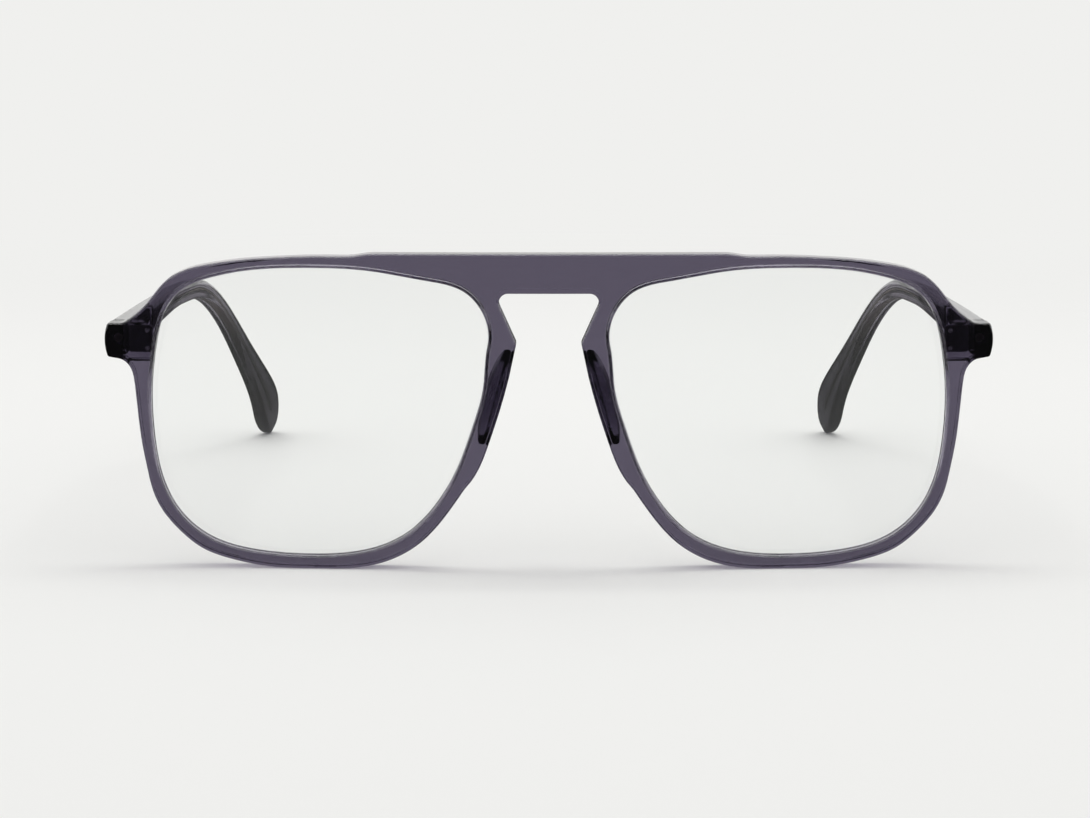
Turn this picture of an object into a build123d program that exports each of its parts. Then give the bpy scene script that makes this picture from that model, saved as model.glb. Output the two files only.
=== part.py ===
"""Eyeglasses with a milled acetate front, a straight brow bar and a keyhole nose opening.

The glasses stand open on the floor Z = 0, on both rims and both temple tips.
+X runs to the right as the front is seen, +Y from the front towards the ears, +Z up.
Left is -X and right is +X, as seen from the front.
Each right piece is modelled, and its left twin is its mirror image.
"""

from build123d import *
import math
import os

# Lenses, as an optician measures them: boxed width and height, and the distance between them
lens_width = 56.0
lens_height = 48.5
lens_spacing = 18.7
lens_thickness = 1.5
lens_radius = 200.0
lens_bevel = 0.3

# Acetate front
front_thickness = 4.0
wrap_radius = 680.0
front_setback = 70.65
rim_above = 1.35
rim_below = 1.45
brow_rise = 0.4
brow_length = 56.8
brow_depth = 6.4
edge_round = 0.5
groove_depth = 0.6
groove_clearance = 0.05

# Endpieces, which carry the hinges
endpiece_reach = 6.9
endpiece_height = 5.5
endpiece_bulge = 0.5
endpiece_flat = 2.3
endpiece_drop = 0.3
endpiece_round = 0.5
hinge_height_share = 0.7225
lug_depth = 4.5
lug_width = 7.85
lug_rise = 5.4
lug_drop = 3.7
lug_round = 0.6

# Keyhole opening and nose flanks
flank_width = 4.1
vertex_drop = 8.1
vertex_round = 0.8
keyhole_inset = 0.45
keyhole_round = 1.5

# Nose pads, glued behind the flanks
pad_width = 1.8
pad_end_width = 1.1
pad_projection = 5.2
pad_splay = 0.7
pad_inset = 0.5
pad_round = 0.45
pad_top_share = 0.22
pad_foot_share = 0.25
glue_gap = 0.02

# Temples
temple_thickness = 3.5
temple_height = 5.5
temple_inset = 0.3
temple_round = 0.95
temple_twist = 37
temple_reach = 132.4
temple_sweep = 12.4
temple_drop = 36.936
butt_gap = 0.1

# Five-barrel hinges: leaves let into the lug and the temple, and a screw down through the barrels
barrel_radius = 1.3
barrel_count = 5
barrel_gap = 0.05
hinge_stack = 4.4
barrel_clearance = 0.1
leaf_thickness = 0.9
leaf_round = 0.4
front_leaf_width = 3.7
temple_leaf_length = 9.6
leaf_setback = 0.3
seat_clearance = 0.02
screw_radius = 0.6
screw_clearance = 0.03
screw_head_radius = 1.05
screw_head_height = 0.55
screw_head_round = 0.3
slot_width = 0.3
slot_depth = 0.25

# Rivets that hold the leaves
rivet_radius = 0.36
rivet_spacing = 2.9
rivet_margin = 0.65
rivet_bite = 1.8

# Core wires
core_radius = 0.7
core_clearance = 0.03
core_setback = 0.4
core_tip_margin = 9.0

# How far a cutting tool runs past what it cuts
overrun = 1.0
# Points taken round the lens line to grow or shrink it
outline_steps = 50

front_height = rim_below + lens_height + rim_above + brow_rise
rim_top = front_height - brow_rise
nasal_x = lens_spacing / 2
temporal_x = nasal_x + lens_width
half_width = temporal_x + endpiece_reach
hinge_z = hinge_height_share * front_height
front_y = -front_setback

# Points of the lens edge: across and up, as shares of the boxed lens
lens_shares = [
    (0.000, 0.726), (0.017, 0.850), (0.072, 0.920), (0.189, 0.959),
    (0.352, 0.991), (0.522, 1.000), (0.698, 0.991), (0.822, 0.962),
    (0.902, 0.920), (0.954, 0.846), (0.980, 0.750), (1.000, 0.540),
    (0.993, 0.393), (0.972, 0.266), (0.914, 0.140), (0.822, 0.056),
    (0.707, 0.016), (0.529, 0.000), (0.387, 0.012), (0.287, 0.048),
    (0.215, 0.102), (0.151, 0.184), (0.096, 0.291), (0.048, 0.437), (0.011, 0.600),
]
# Points of the outer rim: across as shares of the lens width, up as shares of the rim's height
brow_side_shares = [
    (0.416, 0.999), (0.520, 0.999), (0.630, 0.994), (0.735, 0.985),
    (0.805, 0.974), (0.878, 0.956), (0.913, 0.939), (0.950, 0.909),
    (0.986, 0.862), (1.022, 0.819), (1.055, 0.792),
]
cheek_side_shares = [
    (1.058, 0.654), (1.045, 0.632), (1.038, 0.598), (1.031, 0.520),
    (1.018, 0.393), (1.005, 0.317), (0.988, 0.241), (0.958, 0.176),
    (0.912, 0.118), (0.850, 0.064), (0.755, 0.026), (0.640, 0.004),
    (0.512, 0.000), (0.392, 0.004), (0.294, 0.030), (0.204, 0.088),
    (0.133, 0.173), (0.0785, 0.258),
]
flank_shares = [(0.0600, 0.282), (0.0310, 0.336), (0.0040, 0.414), (-0.0245, 0.509), (-0.0520, 0.617)]
# A nose pad seen from the side: down it and out from the front, as shares of its length and projection
pad_profile_shares = [
    (0.00, -0.10), (0.05, 0.42), (0.22, 0.86), (0.45, 1.00), (0.72, 0.84), (0.93, 0.38), (1.00, -0.10),
]
# A temple's middle line behind its straight arm: back, in and down, as shares of reach, sweep and drop
temple_line_shares = [
    (0.470, 0.024, 0.032), (0.575, 0.112, 0.039), (0.665, 0.276, 0.070), (0.740, 0.475, 0.203),
    (0.830, 0.741, 0.477), (0.920, 0.960, 0.754), (1.000, 1.005, 1.000),
]
# Sections along a temple: share of its length, then shares of its height, thickness and twist
temple_arm_shares = [
    (0.000, 1.000, 1.000, 0.00), (0.080, 0.950, 1.000, 0.00), (0.160, 0.900, 1.000, 0.00),
    (0.240, 0.830, 0.990, 0.00), (0.320, 0.755, 0.975, 0.00), (0.400, 0.705, 0.955, 0.00),
    (0.480, 0.675, 0.930, 0.00),
]
temple_tip_shares = [
    (0.480, 0.675, 0.930, 0.00), (0.500, 0.669, 0.923, 0.00), (0.520, 0.663, 0.912, 0.00),
    (0.560, 0.655, 0.890, 0.00), (0.600, 0.652, 0.868, 0.00), (0.640, 0.660, 0.850, 0.02),
    (0.680, 0.682, 0.845, 0.07), (0.720, 0.715, 0.850, 0.16), (0.760, 0.765, 0.870, 0.32),
    (0.800, 0.840, 0.905, 0.54), (0.840, 0.950, 0.940, 0.78), (0.880, 1.100, 0.970, 0.95),
    (0.910, 1.215, 0.980, 1.00), (0.935, 1.255, 0.975, 1.00), (0.957, 1.140, 0.940, 1.00),
    (0.975, 0.920, 0.865, 1.00), (0.987, 0.675, 0.730, 1.00), (0.9945, 0.440, 0.510, 1.00),
    (0.999, 0.220, 0.260, 1.00),
]


def upright(y):
    """The vertical plane at y, with its X across and its Y up, facing forwards."""
    return Plane(origin=(0, y, 0), x_dir=(1, 0, 0), z_dir=(0, -1, 0))


def lens_point(across_share, up_share):
    """A point across and up, at shares of the boxed lens."""
    return (nasal_x + across_share * lens_width, rim_below + up_share * lens_height)


def rim_point(across_share, up_share):
    """A point across and up, at shares of the lens width and of the rim's height."""
    return (nasal_x + across_share * lens_width, up_share * rim_top)


def wrap_y(x, depth):
    """Where the front lies at x, at a depth below its outer face."""
    return front_y + wrap_radius - math.sqrt((wrap_radius - depth) ** 2 - x**2)


# The front's lug, its back face, the temple's end against it, and the hinge axis
lug_y = wrap_y(half_width, 0) + lug_depth
butt_y = lug_y + butt_gap
temple_outer_x = half_width - temple_inset
temple_inner_x = temple_outer_x - temple_thickness
axis_x = temple_inner_x - barrel_clearance - barrel_radius
axis_y = lug_y + barrel_clearance + barrel_radius
temple_x = temple_outer_x - temple_thickness / 2
leaf_nasal_x = axis_x + barrel_radius - front_leaf_width
leaf_start_y = butt_y + leaf_setback
leaf_end_y = leaf_start_y + temple_leaf_length
barrel_pitch = hinge_stack / barrel_count
stack_bottom = hinge_z - hinge_stack / 2

# Each lens is a shell of a sphere that meets the middle of the front at both ends of the lens
nasal_end = Vector(nasal_x, wrap_y(nasal_x, front_thickness / 2))
temporal_end = Vector(temporal_x, wrap_y(temporal_x, front_thickness / 2))
lens_chord = temporal_end - nasal_end
lens_axis = Vector(-lens_chord.Y, lens_chord.X).normalized()
lens_focus_depth = math.sqrt(lens_radius**2 - (lens_chord.length / 2) ** 2)
lens_focus = (nasal_end + temporal_end) / 2 + lens_axis * lens_focus_depth
lens_centre = (lens_focus.X, lens_focus.Y, rim_below + lens_height / 2)

with BuildLine() as lens_line:
    Spline([lens_point(*shares) for shares in lens_shares], periodic=True)


def lens_face(grow):
    """The lens outline as a face, grown by an even width all round, or shrunk if that is negative."""
    with BuildSketch() as face:
        with BuildLine():
            points = []
            for step in range(outline_steps):
                place = lens_line.edge() @ (step / outline_steps)
                along = lens_line.edge() % (step / outline_steps)
                points.append(place + Vector(-along.Y, along.X) * grow)
            Spline(points, periodic=True)
        make_face()
    return face.sketch


with BuildSketch() as front_half:
    with BuildLine():
        brow_end = (brow_length / 2, front_height)
        rim_start = rim_point(*brow_side_shares[0])
        top_end = (half_width - endpiece_flat, hinge_z + endpiece_height / 2)
        corner_top = (half_width - endpiece_bulge, hinge_z + endpiece_height / 2)
        corner_low = (half_width - endpiece_bulge, hinge_z - endpiece_height / 2)
        low_end = (half_width - endpiece_flat, hinge_z - endpiece_height / 2 - endpiece_drop)
        Line((0, front_height), brow_end)
        Spline(brow_end, rim_start, tangents=[(1, 0), (1, 0)])
        Spline([rim_point(*shares) for shares in brow_side_shares] + [top_end], tangents=[(1, 0), (1, 0)])
        Line(top_end, corner_top)
        ThreePointArc(corner_top, (half_width, hinge_z), corner_low)
        Line(corner_low, low_end)
        Spline([low_end] + [rim_point(*shares) for shares in cheek_side_shares])
        Line(rim_point(*cheek_side_shares[-1]), rim_point(*flank_shares[0]))
        Spline([rim_point(*shares) for shares in flank_shares])
        vertex = (nasal_x - flank_width, front_height - brow_depth - vertex_drop)
        keyhole_corner = (nasal_x - keyhole_inset, front_height - brow_depth)
        Line(rim_point(*flank_shares[-1]), vertex)
        Line(vertex, keyhole_corner)
        Line(keyhole_corner, (0, front_height - brow_depth))
        Line((0, front_height - brow_depth), (0, front_height))
    make_face()
    fillet(front_half.vertices().sort_by_distance(keyhole_corner)[0], keyhole_round)
    fillet(front_half.vertices().sort_by_distance(vertex)[0], vertex_round)
    fillet(front_half.vertices().sort_by_distance(corner_top)[0], endpiece_round)
    fillet(front_half.vertices().sort_by_distance(corner_low)[0], endpiece_round)


def bent_sheet(outer_depth, inner_depth, height):
    """The bent sheet between two depths below the front's outer face, all the way round."""
    with BuildPart() as sheet:
        with BuildSketch():
            with Locations((0, front_y + wrap_radius)):
                Circle(wrap_radius - outer_depth)
                Circle(wrap_radius - inner_depth, mode=Mode.SUBTRACT)
        extrude(amount=height)
    return sheet.part


def lens_blank(grow):
    """The lens, or with its outline and both faces grown, the room that it takes in the front."""
    with BuildPart() as blank:
        with Locations(lens_centre):
            Sphere(lens_radius + lens_thickness / 2 + grow)
            Sphere(lens_radius - lens_thickness / 2 - grow, mode=Mode.SUBTRACT)
        with BuildSketch(upright(lug_y + overrun)):
            add(lens_face(grow))
        extrude(amount=lug_y - front_y + 2 * overrun, mode=Mode.INTERSECT)
    return blank.part


def leaf_plate(plane, length, grow, rise):
    """A hinge leaf under its plane, or grown by a clearance and raised, the pocket that it is let into."""
    with BuildPart() as plate:
        with BuildSketch(plane.offset(rise)):
            RectangleRounded(length + 2 * grow, hinge_stack + 2 * grow, leaf_round + grow)
        extrude(amount=-leaf_thickness - grow - rise)
    return plate.part


def rivet_pair(plane, grow):
    """Two rivets down from the plane, or with a clearance all round, their holes."""
    with BuildPart() as rivets:
        with BuildSketch(plane):
            with GridLocations(0, rivet_spacing, 1, 2):
                Circle(rivet_radius + grow)
        extrude(amount=-leaf_thickness - rivet_bite - grow)
    return rivets.part


# A temple's middle line: a straight arm, then one curve down and in behind the ear
with BuildLine() as temple_line:
    line_points = [
        Vector(
            temple_x - in_share * temple_sweep,
            butt_y + back_share * temple_reach,
            hinge_z - down_share * temple_drop,
        )
        for back_share, in_share, down_share in temple_line_shares
    ]
    temple_arm = Line((temple_x, butt_y, hinge_z), line_points[0])
    temple_curve = Spline(line_points, tangents=[temple_arm % 1, line_points[-1] - line_points[-2]])


def core_rod(radius, start_extra, end_margin):
    """A round rod along a temple's middle line, lengthened at its hinge end and shortened at its tip."""
    start = temple_arm @ 0 - (temple_arm % 0) * start_extra
    with BuildPart() as rod:
        with BuildLine():
            Line(start, temple_arm @ 1)
            add(temple_curve.trim_to_length(0, temple_curve.length - end_margin))
        with BuildSketch(Plane(origin=start, z_dir=temple_arm % 0)):
            Circle(radius)
        sweep()
    return rod.part


lens_room = lens_blank(groove_clearance)
front_leaf_plane = Plane(
    origin=(leaf_nasal_x + front_leaf_width / 2, lug_y, hinge_z), x_dir=(-1, 0, 0), z_dir=(0, 1, 0)
)
front_rivet_plane = front_leaf_plane.shift_origin((leaf_nasal_x + rivet_margin, lug_y, hinge_z))
temple_leaf_plane = Plane(
    origin=(temple_inner_x, leaf_start_y + temple_leaf_length / 2, hinge_z),
    x_dir=(0, -1, 0),
    z_dir=(-1, 0, 0),
)
temple_rivet_plane = temple_leaf_plane.shift_origin(
    (temple_inner_x, leaf_end_y - rivet_margin - rivet_radius, hinge_z)
)

# Milled from acetate sheet, bent to a curve, and polished
with BuildPart() as front_half_body:
    add(bent_sheet(0, front_thickness, front_height))
    with BuildSketch(upright(lug_y + overrun)):
        add(front_half.sketch)
    extrude(amount=lug_y - front_y + 2 * overrun, mode=Mode.INTERSECT)
    with BuildSketch(upright(lug_y + overrun)):
        add(lens_face(-groove_depth))
    extrude(amount=lug_y - front_y + 2 * overrun, mode=Mode.SUBTRACT)
    bent_faces = front_half_body.faces().filter_by(GeomType.CYLINDER).sort_by(SortBy.AREA)[-2:]
    fillet(bent_faces.edges().filter_by(lambda edge: edge.center().X > edge_round), edge_round)
    # The lug stands behind the endpiece
    with BuildSketch(upright(lug_y)):
        add(front_half.sketch)
        with Locations((half_width, hinge_z - lug_drop)):
            Rectangle(lug_width, lug_drop + lug_rise, align=(Align.MAX, Align.MIN), mode=Mode.INTERSECT)
    extrude(amount=lug_depth - front_thickness / 2)
    fillet(front_half_body.faces().sort_by(Axis.Y)[-1].edges(), lug_round)
    add(lens_room, mode=Mode.SUBTRACT)
    add(leaf_plate(front_leaf_plane, front_leaf_width, seat_clearance, overrun), mode=Mode.SUBTRACT)
    add(rivet_pair(front_rivet_plane, seat_clearance), mode=Mode.SUBTRACT)
with BuildPart() as front_frame:
    add(front_half_body.part)
    mirror(about=Plane.YZ)

with BuildPart() as lens_right:
    add(lens_blank(0))
    rim = lens_right.edges().sort_by(SortBy.LENGTH)[-2:]
    chamfer(rim, lens_bevel)

# Acetate fin, glued to the back of the flank, leaning out from the nose
with BuildPart() as nose_pad_right:
    flank = [Vector(*rim_point(*shares)) for shares in flank_shares]
    pad_top = Vector(*vertex) + (flank[-1] - Vector(*vertex)) * pad_top_share
    pad_foot = flank[2] + (flank[1] - flank[2]) * pad_foot_share
    nose_side = [point + Vector(pad_inset, 0) for point in (pad_top, flank[-1], flank[-2], pad_foot)]
    lens_side = [nose_side[0] + Vector(pad_end_width, 0), nose_side[-1] + Vector(pad_end_width, 0)]
    pad_length = pad_top.Y - pad_foot.Y
    pad_back_y = front_y + front_thickness
    with BuildSketch(upright(pad_back_y)):
        with BuildLine():
            Spline(nose_side)
            belly = (pad_top + pad_foot) / 2 + Vector(pad_inset + pad_width, 0)
            ThreePointArc(lens_side[0], belly, lens_side[1])
            Line(nose_side[0], lens_side[0])
            Line(nose_side[-1], lens_side[1])
        make_face()
    extrude(amount=2 * pad_projection, dir=(pad_splay, pad_projection, 0))
    with BuildSketch(Plane.YZ):
        with BuildLine():
            profile = Spline(
                [
                    (pad_back_y + out_share * pad_projection, pad_top.Y - down_share * pad_length)
                    for down_share, out_share in pad_profile_shares
                ]
            )
            Line(profile @ 1, profile @ 0)
        make_face()
    extrude(amount=half_width, mode=Mode.INTERSECT)
    crest = nose_pad_right.faces().sort_by(Axis.Y)[-1]
    fillet(crest.edges().sort_by(SortBy.LENGTH)[-2:], pad_round)
    add(bent_sheet(0, front_thickness + glue_gap, front_height), mode=Mode.SUBTRACT)

core_room = core_rod(core_radius + core_clearance, overrun, core_tip_margin)
# Cut from acetate sheet, bent down behind the ear and polished, with a wide tip
with BuildPart() as temple_right:
    route = temple_line.wire()
    for run_shares in (temple_arm_shares, temple_tip_shares):
        for length_share, height_share, thickness_share, twist_share in run_shares:
            station = length_share * route.length
            along = route.tangent_at(station, PositionMode.LENGTH)
            across = (Vector(1, 0, 0) - along * along.X).normalized()
            level = Plane(origin=route.position_at(station, PositionMode.LENGTH), x_dir=across, z_dir=along)
            with BuildSketch(level.rotated((0, 0, twist_share * temple_twist))):
                RectangleRounded(
                    thickness_share * temple_thickness,
                    height_share * temple_height,
                    thickness_share * temple_round,
                )
        loft()
    add(core_room, mode=Mode.SUBTRACT)
    add(leaf_plate(temple_leaf_plane, temple_leaf_length, seat_clearance, overrun), mode=Mode.SUBTRACT)
    add(rivet_pair(temple_rivet_plane, seat_clearance), mode=Mode.SUBTRACT)

with BuildPart() as temple_core_right:
    add(core_rod(core_radius, -core_setback, core_tip_margin + core_clearance))


def hinge_leaf(plate, barrel_indices, web_corner, web_far_corner):
    """A leaf with its barrels, each joined to the plate by a web, and bored for the screw."""
    with BuildPart() as leaf:
        add(plate)
        for index in barrel_indices:
            barrel_bottom = stack_bottom + index * barrel_pitch + barrel_gap / 2
            with BuildSketch(Plane.XY.offset(barrel_bottom)):
                with Locations((axis_x, axis_y)):
                    Circle(barrel_radius)
                with BuildLine():
                    Polyline(
                        web_corner,
                        (web_far_corner[0], web_corner[1]),
                        web_far_corner,
                        (web_corner[0], web_far_corner[1]),
                        close=True,
                    )
                make_face()
            extrude(amount=barrel_pitch - barrel_gap)
        with BuildSketch(Plane.XY.offset(stack_bottom)):
            with Locations((axis_x, axis_y)):
                Circle(screw_radius + screw_clearance)
        extrude(amount=hinge_stack, mode=Mode.SUBTRACT)
    return leaf.part


with BuildPart() as hinge_front_leaf_right:
    add(
        hinge_leaf(
            leaf_plate(front_leaf_plane, front_leaf_width, 0, 0),
            range(0, barrel_count, 2),
            (axis_x - barrel_radius, lug_y),
            (axis_x + barrel_radius, axis_y),
        )
    )
    add(rivet_pair(front_rivet_plane, seat_clearance), mode=Mode.SUBTRACT)
with BuildPart() as hinge_temple_leaf_right:
    add(
        hinge_leaf(
            leaf_plate(temple_leaf_plane, temple_leaf_length, 0, 0),
            range(1, barrel_count, 2),
            (axis_x, axis_y - barrel_radius),
            (temple_inner_x, axis_y + barrel_radius),
        )
    )
    add(rivet_pair(temple_rivet_plane, seat_clearance), mode=Mode.SUBTRACT)
with BuildPart() as front_leaf_rivets_right:
    add(rivet_pair(front_rivet_plane, 0))
with BuildPart() as temple_leaf_rivets_right:
    add(rivet_pair(temple_rivet_plane, 0))
with BuildPart() as hinge_screw_right:
    head_z = stack_bottom + hinge_stack - barrel_gap / 2
    with BuildSketch(Plane.XY.offset(stack_bottom)):
        with Locations((axis_x, axis_y)):
            Circle(screw_radius)
    extrude(amount=head_z - stack_bottom)
    with BuildSketch(Plane.XY.offset(head_z)):
        with Locations((axis_x, axis_y)):
            Circle(screw_head_radius)
    extrude(amount=screw_head_height)
    fillet(hinge_screw_right.edges().sort_by(Axis.Z)[-1], screw_head_round)
    with BuildSketch(Plane.XY.offset(head_z + screw_head_height)):
        with Locations((axis_x, axis_y)):
            Rectangle(slot_width, 2 * screw_head_radius)
    extrude(amount=-slot_depth, mode=Mode.SUBTRACT)

os.makedirs("parts", exist_ok=True)
front_frame.part.label = "front_frame"
export_step(front_frame.part, "parts/front_frame.step")
right_pieces = {
    "lens": lens_right,
    "nose_pad": nose_pad_right,
    "temple": temple_right,
    "temple_core": temple_core_right,
    "hinge_front_leaf": hinge_front_leaf_right,
    "hinge_temple_leaf": hinge_temple_leaf_right,
    "hinge_screw": hinge_screw_right,
    "front_leaf_rivets": front_leaf_rivets_right,
    "temple_leaf_rivets": temple_leaf_rivets_right,
}
for name, right_piece in right_pieces.items():
    right_piece.part.label = name + "_right"
    export_step(right_piece.part, f"parts/{name}_right.step")
    with BuildPart() as left_piece:
        mirror(right_piece.part, about=Plane.YZ)
    left_piece.part.label = name + "_left"
    export_step(left_piece.part, f"parts/{name}_left.step")
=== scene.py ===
"""Acetate eyeglasses with a straight brow bar, standing open on a pale studio table."""

import math

import bpy
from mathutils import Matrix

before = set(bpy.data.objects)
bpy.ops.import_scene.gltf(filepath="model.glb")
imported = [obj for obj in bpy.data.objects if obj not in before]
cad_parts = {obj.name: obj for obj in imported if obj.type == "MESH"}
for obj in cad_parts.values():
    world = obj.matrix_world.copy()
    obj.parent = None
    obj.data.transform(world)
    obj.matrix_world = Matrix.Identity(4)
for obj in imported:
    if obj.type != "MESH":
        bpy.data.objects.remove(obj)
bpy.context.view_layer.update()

# Front: one piece milled from smoky, see-through acetate sheet, bent to a slight curve and tumbled
# until every edge is round and glossy. The lenses are snapped into a groove all round each rim.
front_tint = (0.497, 0.467, 0.552)
front_soak = 1040
front_shade = (0.88, 0.86, 0.9)


def new_finish(name):
    """An empty node material, with its nodes, links and output node."""
    finish = bpy.data.materials.new(name)
    finish.use_nodes = True
    nodes, links = finish.node_tree.nodes, finish.node_tree.links
    nodes.clear()
    output = nodes.new("ShaderNodeOutputMaterial")
    return finish, nodes, links, output


def smoky_acetate(name, tint, soak_density, shade, low_painted_shade=(1, 1, 1)):
    """See-through acetate. Light is soaked up in the tint's opposite on its way through the sheet,
    shade is what passes into the shadow, and the last argument is a painted shade that darkens
    the colour towards the bottom."""
    mottle_scale = 220
    mottle_detail = 3
    polish_low, polish_high = 0.02, 0.06
    tone_dark = (0.93, 0.92, 0.94, 1)
    acetate_ior = 1.49
    darkest_shade_height, unshaded_height = 0.5, 0.93
    finish, nodes, links, output = new_finish(name)
    place = nodes.new("ShaderNodeTexCoord")
    mottle = nodes.new("ShaderNodeTexNoise")
    mottle.inputs["Scale"].default_value = mottle_scale
    mottle.inputs["Detail"].default_value = mottle_detail
    polish = nodes.new("ShaderNodeMapRange")
    polish.inputs["To Min"].default_value = polish_low
    polish.inputs["To Max"].default_value = polish_high
    tone = nodes.new("ShaderNodeValToRGB")
    tone.color_ramp.elements[0].color = tone_dark
    tone.color_ramp.elements[1].color = (1, 1, 1, 1)
    # Painted shade: a ramp on the piece's height darkens its colour towards the bottom.
    height = nodes.new("ShaderNodeSeparateXYZ")
    painted_shade_ramp = nodes.new("ShaderNodeValToRGB")
    painted_shade_ramp.color_ramp.elements[0].position = darkest_shade_height
    painted_shade_ramp.color_ramp.elements[0].color = (*low_painted_shade, 1)
    painted_shade_ramp.color_ramp.elements[1].position = unshaded_height
    painted_shade_ramp.color_ramp.elements[1].color = (1, 1, 1, 1)
    blend = nodes.new("ShaderNodeMix")
    blend.data_type = "RGBA"
    blend.blend_type = "MULTIPLY"
    blend.inputs[0].default_value = 1
    body = nodes.new("ShaderNodeBsdfPrincipled")
    body.inputs["Transmission Weight"].default_value = 1
    body.inputs["IOR"].default_value = acetate_ior
    soak = nodes.new("ShaderNodeVolumeAbsorption")
    soak.inputs["Color"].default_value = (*tint, 1)
    soak.inputs["Density"].default_value = soak_density
    rays = nodes.new("ShaderNodeLightPath")
    thin = nodes.new("ShaderNodeBsdfTransparent")
    thin.inputs["Color"].default_value = (*shade, 1)
    pick = nodes.new("ShaderNodeMixShader")
    links.new(place.outputs["Object"], mottle.inputs["Vector"])
    links.new(mottle.outputs["Fac"], polish.inputs["Value"])
    links.new(mottle.outputs["Fac"], tone.inputs["Fac"])
    links.new(polish.outputs["Result"], body.inputs["Roughness"])
    links.new(place.outputs["Generated"], height.inputs["Vector"])
    links.new(height.outputs["Z"], painted_shade_ramp.inputs["Fac"])
    links.new(tone.outputs["Color"], blend.inputs[6])
    links.new(painted_shade_ramp.outputs["Color"], blend.inputs[7])
    links.new(blend.outputs[2], body.inputs["Base Color"])
    links.new(rays.outputs["Is Shadow Ray"], pick.inputs["Fac"])
    links.new(body.outputs["BSDF"], pick.inputs[1])
    links.new(thin.outputs["BSDF"], pick.inputs[2])
    links.new(pick.outputs["Shader"], output.inputs["Surface"])
    links.new(soak.outputs["Volume"], output.inputs["Volume"])
    return finish


def dress(piece, finish, edge_angle=math.radians(30)):
    """Gives a piece its one finish and a smooth surface that keeps its real edges."""
    piece.data.materials.clear()
    piece.data.materials.append(finish)
    bpy.ops.object.select_all(action="DESELECT")
    piece.select_set(True)
    bpy.context.view_layer.objects.active = piece
    bpy.ops.object.shade_smooth_by_angle(angle=edge_angle)


front_acetate = smoky_acetate("smoky_acetate_front", front_tint, front_soak, front_shade)
dress(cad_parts["front_frame"], front_acetate)

# Lenses: clear plastic, bowed forwards a little, with a small bevel at the edge that sits in the
# rim's groove. They are uncoated and clean.
lens_colour = (0.99, 1, 0.995)
lens_ior = 1.5
lens_shade = (0.97, 0.97, 0.97)
haze_scale = 90
haze_most = 0.01
lens_finish, nodes, links, output = new_finish("clear_lens")
clear = nodes.new("ShaderNodeBsdfPrincipled")
clear.inputs["Base Color"].default_value = (*lens_colour, 1)
clear.inputs["Transmission Weight"].default_value = 1
clear.inputs["IOR"].default_value = lens_ior
haze_place = nodes.new("ShaderNodeTexCoord")
haze = nodes.new("ShaderNodeTexNoise")
haze.inputs["Scale"].default_value = haze_scale
haze_range = nodes.new("ShaderNodeMapRange")
haze_range.inputs["To Min"].default_value = 0
haze_range.inputs["To Max"].default_value = haze_most
lens_rays = nodes.new("ShaderNodeLightPath")
lens_thin = nodes.new("ShaderNodeBsdfTransparent")
lens_thin.inputs["Color"].default_value = (*lens_shade, 1)
lens_pick = nodes.new("ShaderNodeMixShader")
links.new(haze_place.outputs["Object"], haze.inputs["Vector"])
links.new(haze.outputs["Fac"], haze_range.inputs["Value"])
links.new(haze_range.outputs["Result"], clear.inputs["Roughness"])
links.new(lens_rays.outputs["Is Shadow Ray"], lens_pick.inputs["Fac"])
links.new(clear.outputs["BSDF"], lens_pick.inputs[1])
links.new(lens_thin.outputs["BSDF"], lens_pick.inputs[2])
links.new(lens_pick.outputs["Shader"], output.inputs["Surface"])
for side in ("left", "right"):
    dress(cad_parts[f"lens_{side}"], lens_finish)

# Nose pads: small leaf-shaped fins milled from the same acetate as the front, in a slightly clearer
# sheet, polished and glued to the back of the flanks so that they rest on the sides of the nose.
pad_soak = 600
pad_shade = (0.6, 0.58, 0.62)
pad_acetate = smoky_acetate("smoky_acetate_pad", front_tint, pad_soak, pad_shade)
for side in ("left", "right"):
    dress(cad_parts[f"nose_pad_{side}"], pad_acetate)

# Temples: cut from a clearer acetate sheet, with a metal wire shot into the middle, then bent down and
# in behind the ear and polished. The hinge's leaf is let into the end. Painted shade darkens their
# colour towards the lowest part, the tip.
temple_tint = (0.48, 0.45, 0.52)
temple_soak = 720
temple_shade = (0.6, 0.6, 0.62)
# Painted shade: the colour that the temples are darkened to at their lowest part.
temple_low_painted_shade = (0.12, 0.12, 0.13)
temple_acetate = smoky_acetate(
    "smoky_acetate_temple", temple_tint, temple_soak, temple_shade, temple_low_painted_shade
)
for side in ("left", "right"):
    dress(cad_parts[f"temple_{side}"], temple_acetate)

# Core wires and hinges: nickel silver. The wires are drawn, the leaves and barrels are milled and
# satin, and the screws and rivets are turned.
wire_colour = (0.42, 0.36, 0.31)
leaf_colour = (0.34, 0.33, 0.32)
screw_colour = (0.45, 0.44, 0.43)


def satin_metal(name, colour, rough_low, rough_high, grain_scale):
    """Worn satin metal: colour and roughness vary a little over it."""
    grain_detail = 4
    dull_share = 0.82
    finish, nodes, links, output = new_finish(name)
    place = nodes.new("ShaderNodeTexCoord")
    grain = nodes.new("ShaderNodeTexNoise")
    grain.inputs["Scale"].default_value = grain_scale
    grain.inputs["Detail"].default_value = grain_detail
    rough = nodes.new("ShaderNodeMapRange")
    rough.inputs["To Min"].default_value = rough_low
    rough.inputs["To Max"].default_value = rough_high
    tone = nodes.new("ShaderNodeValToRGB")
    tone.color_ramp.elements[0].color = (*(dull_share * part for part in colour), 1)
    tone.color_ramp.elements[1].color = (*colour, 1)
    metal = nodes.new("ShaderNodeBsdfPrincipled")
    metal.inputs["Metallic"].default_value = 1
    links.new(place.outputs["Object"], grain.inputs["Vector"])
    links.new(grain.outputs["Fac"], rough.inputs["Value"])
    links.new(grain.outputs["Fac"], tone.inputs["Fac"])
    links.new(rough.outputs["Result"], metal.inputs["Roughness"])
    links.new(tone.outputs["Color"], metal.inputs["Base Color"])
    links.new(metal.outputs["BSDF"], output.inputs["Surface"])
    return finish


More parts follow.
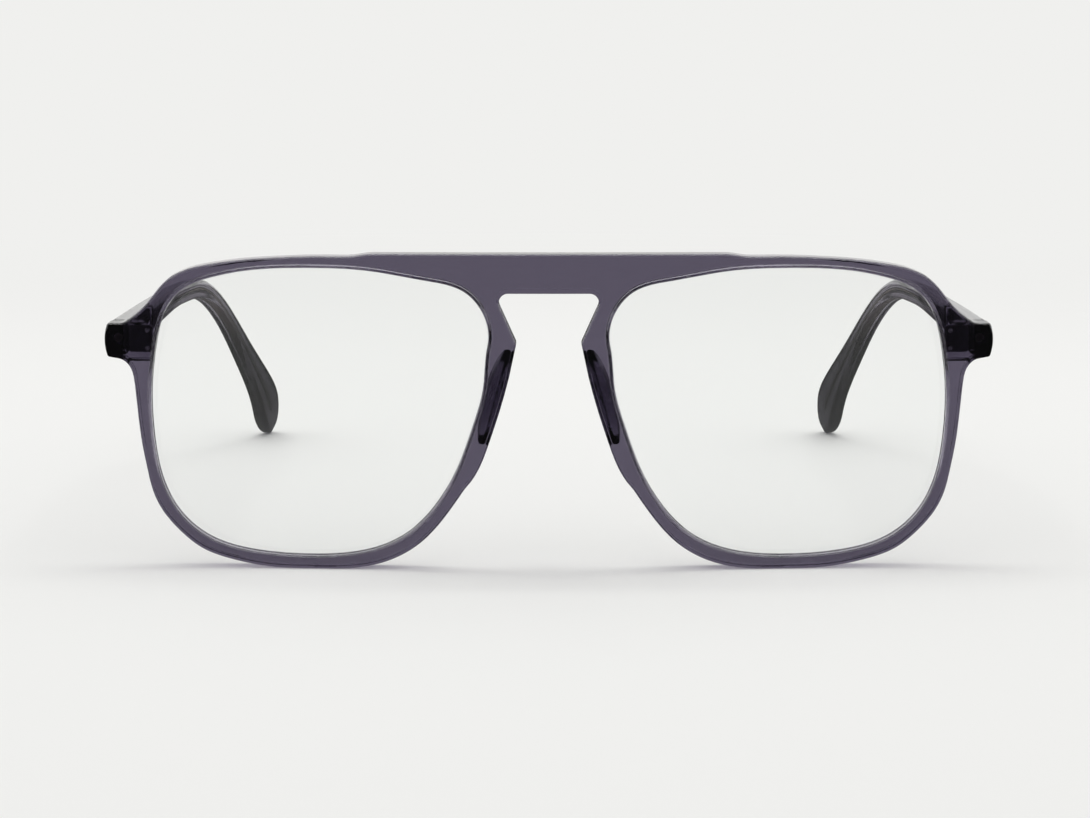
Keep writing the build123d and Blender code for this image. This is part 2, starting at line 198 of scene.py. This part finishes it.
wire_metal = satin_metal("drawn_core_wire", wire_colour, rough_low=0.3, rough_high=0.45, grain_scale=900)
leaf_metal = satin_metal("satin_hinge_leaf", leaf_colour, rough_low=0.25, rough_high=0.4, grain_scale=1500)
screw_metal = satin_metal("turned_screw", screw_colour, rough_low=0.18, rough_high=0.3, grain_scale=2000)
for side in ("left", "right"):
    dress(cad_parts[f"temple_core_{side}"], wire_metal)
    dress(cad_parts[f"hinge_front_leaf_{side}"], leaf_metal)
    dress(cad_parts[f"hinge_temple_leaf_{side}"], leaf_metal)
    dress(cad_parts[f"hinge_screw_{side}"], screw_metal)
    dress(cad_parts[f"front_leaf_rivets_{side}"], screw_metal)
    dress(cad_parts[f"temple_leaf_rivets_{side}"], screw_metal)

# Table and backdrop: one pale sheet that runs level under the glasses and sweeps up far behind them.
# It is plain paper, held flat at the front and hung at the back.
sweep_half_width = 5
sweep_front_y = -2
sweep_start_y = 5
sweep_radius = 1.5
sweep_top = 5
sweep_steps = 16
sweep_profile = [(sweep_front_y, 0), (sweep_start_y, 0)]
for step in range(1, sweep_steps + 1):
    turn = math.radians(90) * step / sweep_steps
    bend_y = sweep_start_y + sweep_radius * math.sin(turn)
    sweep_profile.append((bend_y, sweep_radius * (1 - math.cos(turn))))
sweep_profile.append((sweep_start_y + sweep_radius, sweep_top))
sweep_mesh = bpy.data.meshes.new("table_and_backdrop")
sweep_points = [(x, y, z) for y, z in sweep_profile for x in (-sweep_half_width, sweep_half_width)]
sweep_faces = [(2 * i, 2 * i + 1, 2 * i + 3, 2 * i + 2) for i in range(len(sweep_profile) - 1)]
sweep_mesh.from_pydata(sweep_points, [], sweep_faces)
sweep = bpy.data.objects.new("table_and_backdrop", sweep_mesh)
bpy.context.scene.collection.objects.link(sweep)
# Near the glasses the sheet is plain lit paper that takes their shadow. Further off, where a studio
# sheet is lit by lamps of its own, it is evenly pale. Gloss shows it dim near by and pale behind.
paper_colour = (0.871, 0.871, 0.855)
shadow_reach = 0.2
even_reach = 0.5
near_in_gloss = 0.08
gloss_dim_y = 0.3
gloss_even_y = 1.5
table_finish, nodes, links, output = new_finish("pale_paper")
paper = nodes.new("ShaderNodeBsdfDiffuse")
paper.inputs["Color"].default_value = (*paper_colour, 1)
backlit = nodes.new("ShaderNodeEmission")
backlit.inputs["Color"].default_value = (*paper_colour, 1)
backlit.inputs["Strength"].default_value = 1
mirrored = nodes.new("ShaderNodeEmission")
mirrored.inputs["Color"].default_value = (*paper_colour, 1)
sheet_place = nodes.new("ShaderNodeTexCoord")
distance = nodes.new("ShaderNodeVectorMath")
distance.operation = "LENGTH"
sheet_depth = nodes.new("ShaderNodeSeparateXYZ")
far_share = nodes.new("ShaderNodeMapRange")
far_share.interpolation_type = "SMOOTHSTEP"
far_share.inputs["From Min"].default_value = shadow_reach
far_share.inputs["From Max"].default_value = even_reach
gloss_share = nodes.new("ShaderNodeMapRange")
gloss_share.interpolation_type = "SMOOTHSTEP"
gloss_share.inputs["From Min"].default_value = gloss_dim_y
gloss_share.inputs["From Max"].default_value = gloss_even_y
gloss_share.inputs["To Min"].default_value = near_in_gloss
table_rays = nodes.new("ShaderNodeLightPath")
seen_at_all = nodes.new("ShaderNodeMath")
seen_at_all.operation = "MAXIMUM"
far_and_seen = nodes.new("ShaderNodeMath")
far_and_seen.operation = "MULTIPLY"
paper_pick = nodes.new("ShaderNodeMixShader")
only_mirrored = nodes.new("ShaderNodeMath")
only_mirrored.operation = "SUBTRACT"
only_mirrored.use_clamp = True
mirror_pick = nodes.new("ShaderNodeMixShader")
links.new(sheet_place.outputs["Object"], distance.inputs[0])
links.new(distance.outputs["Value"], far_share.inputs["Value"])
links.new(sheet_place.outputs["Object"], sheet_depth.inputs["Vector"])
links.new(sheet_depth.outputs["Y"], gloss_share.inputs["Value"])
links.new(gloss_share.outputs["Result"], mirrored.inputs["Strength"])
links.new(table_rays.outputs["Is Camera Ray"], seen_at_all.inputs[0])
links.new(table_rays.outputs["Is Transmission Ray"], seen_at_all.inputs[1])
links.new(far_share.outputs["Result"], far_and_seen.inputs[0])
links.new(seen_at_all.outputs["Value"], far_and_seen.inputs[1])
links.new(far_and_seen.outputs["Value"], paper_pick.inputs["Fac"])
links.new(paper.outputs["BSDF"], paper_pick.inputs[1])
links.new(backlit.outputs["Emission"], paper_pick.inputs[2])
links.new(table_rays.outputs["Is Glossy Ray"], only_mirrored.inputs[0])
links.new(table_rays.outputs["Is Transmission Ray"], only_mirrored.inputs[1])
links.new(only_mirrored.outputs["Value"], mirror_pick.inputs["Fac"])
links.new(paper_pick.outputs["Shader"], mirror_pick.inputs[1])
links.new(mirrored.outputs["Emission"], mirror_pick.inputs[2])
links.new(mirror_pick.outputs["Shader"], output.inputs["Surface"])
sweep.data.materials.append(table_finish)
for polygon in sweep.data.polygons:
    polygon.use_smooth = True

# Studio light: one broad soft box overhead and a little behind the glasses, in a pale room. A dark
# card stands behind the camera, so that the polished fronts stay clear and deep in colour.
room_glow = 0.755
room_in_gloss = 1.6
card_in_gloss = 0.03
card_edge = -0.8
card_fade_end = -0.35
softbox_width = 0.9
softbox_depth = 0.3
softbox_watts = 2.8
softbox_place = (0, 0.1, 0.9)
world = bpy.data.worlds.new("studio")
world.use_nodes = True
nodes, links = world.node_tree.nodes, world.node_tree.links
nodes.clear()
world_output = nodes.new("ShaderNodeOutputWorld")
room = nodes.new("ShaderNodeBackground")
room.inputs["Color"].default_value = (1, 1, 1, 1)
room.inputs["Strength"].default_value = room_glow
gloss_room = nodes.new("ShaderNodeBackground")
gloss_room.inputs["Color"].default_value = (1, 1, 1, 1)
pale_room = nodes.new("ShaderNodeBackground")
pale_room.inputs["Color"].default_value = (*paper_colour, 1)
room_side = nodes.new("ShaderNodeTexCoord")
split_side = nodes.new("ShaderNodeSeparateXYZ")
card_share = nodes.new("ShaderNodeMapRange")
card_share.interpolation_type = "SMOOTHSTEP"
card_share.inputs["From Min"].default_value = card_edge
card_share.inputs["From Max"].default_value = card_fade_end
card_share.inputs["To Min"].default_value = card_in_gloss
card_share.inputs["To Max"].default_value = room_in_gloss
room_rays = nodes.new("ShaderNodeLightPath")
clear_view = nodes.new("ShaderNodeMath")
clear_view.operation = "MAXIMUM"
gloss_pick = nodes.new("ShaderNodeMixShader")
view_pick = nodes.new("ShaderNodeMixShader")
links.new(room_side.outputs["Generated"], split_side.inputs["Vector"])
links.new(split_side.outputs["Y"], card_share.inputs["Value"])
links.new(card_share.outputs["Result"], gloss_room.inputs["Strength"])
links.new(room_rays.outputs["Is Glossy Ray"], gloss_pick.inputs["Fac"])
links.new(room.outputs["Background"], gloss_pick.inputs[1])
links.new(gloss_room.outputs["Background"], gloss_pick.inputs[2])
links.new(room_rays.outputs["Is Camera Ray"], clear_view.inputs[0])
links.new(room_rays.outputs["Is Transmission Ray"], clear_view.inputs[1])
links.new(clear_view.outputs["Value"], view_pick.inputs["Fac"])
links.new(gloss_pick.outputs["Shader"], view_pick.inputs[1])
links.new(pale_room.outputs["Background"], view_pick.inputs[2])
links.new(view_pick.outputs["Shader"], world_output.inputs["Surface"])
bpy.context.scene.world = world
softbox_data = bpy.data.lights.new("overhead_softbox", "AREA")
softbox_data.shape = "RECTANGLE"
softbox_data.size = softbox_width
softbox_data.size_y = softbox_depth
softbox_data.energy = softbox_watts
softbox = bpy.data.objects.new("overhead_softbox", softbox_data)
softbox.location = softbox_place
softbox.rotation_euler = (-softbox.location).to_track_quat("-Z", "Y").to_euler()
bpy.context.scene.collection.objects.link(softbox)

# Camera: a long lens straight in front of the glasses, a little above them and tipped down, at the
# distance and angle that give the photograph's view of the rims and temples.
film_width = 36
long_lens = 101.398
nearest_seen = 0.01
camera_place = (-0.00062, -0.56155, 0.10268)
camera_dip = 8.808
camera_data = bpy.data.cameras.new("camera")
camera_data.sensor_width = film_width
camera_data.lens = long_lens
camera_data.clip_start = nearest_seen
camera = bpy.data.objects.new("camera", camera_data)
camera.location = camera_place
camera.rotation_euler = (math.radians(90 - camera_dip), 0, 0)
bpy.context.scene.collection.objects.link(camera)
bpy.context.scene.camera = camera
bpy.context.scene.view_settings.view_transform = "Standard"
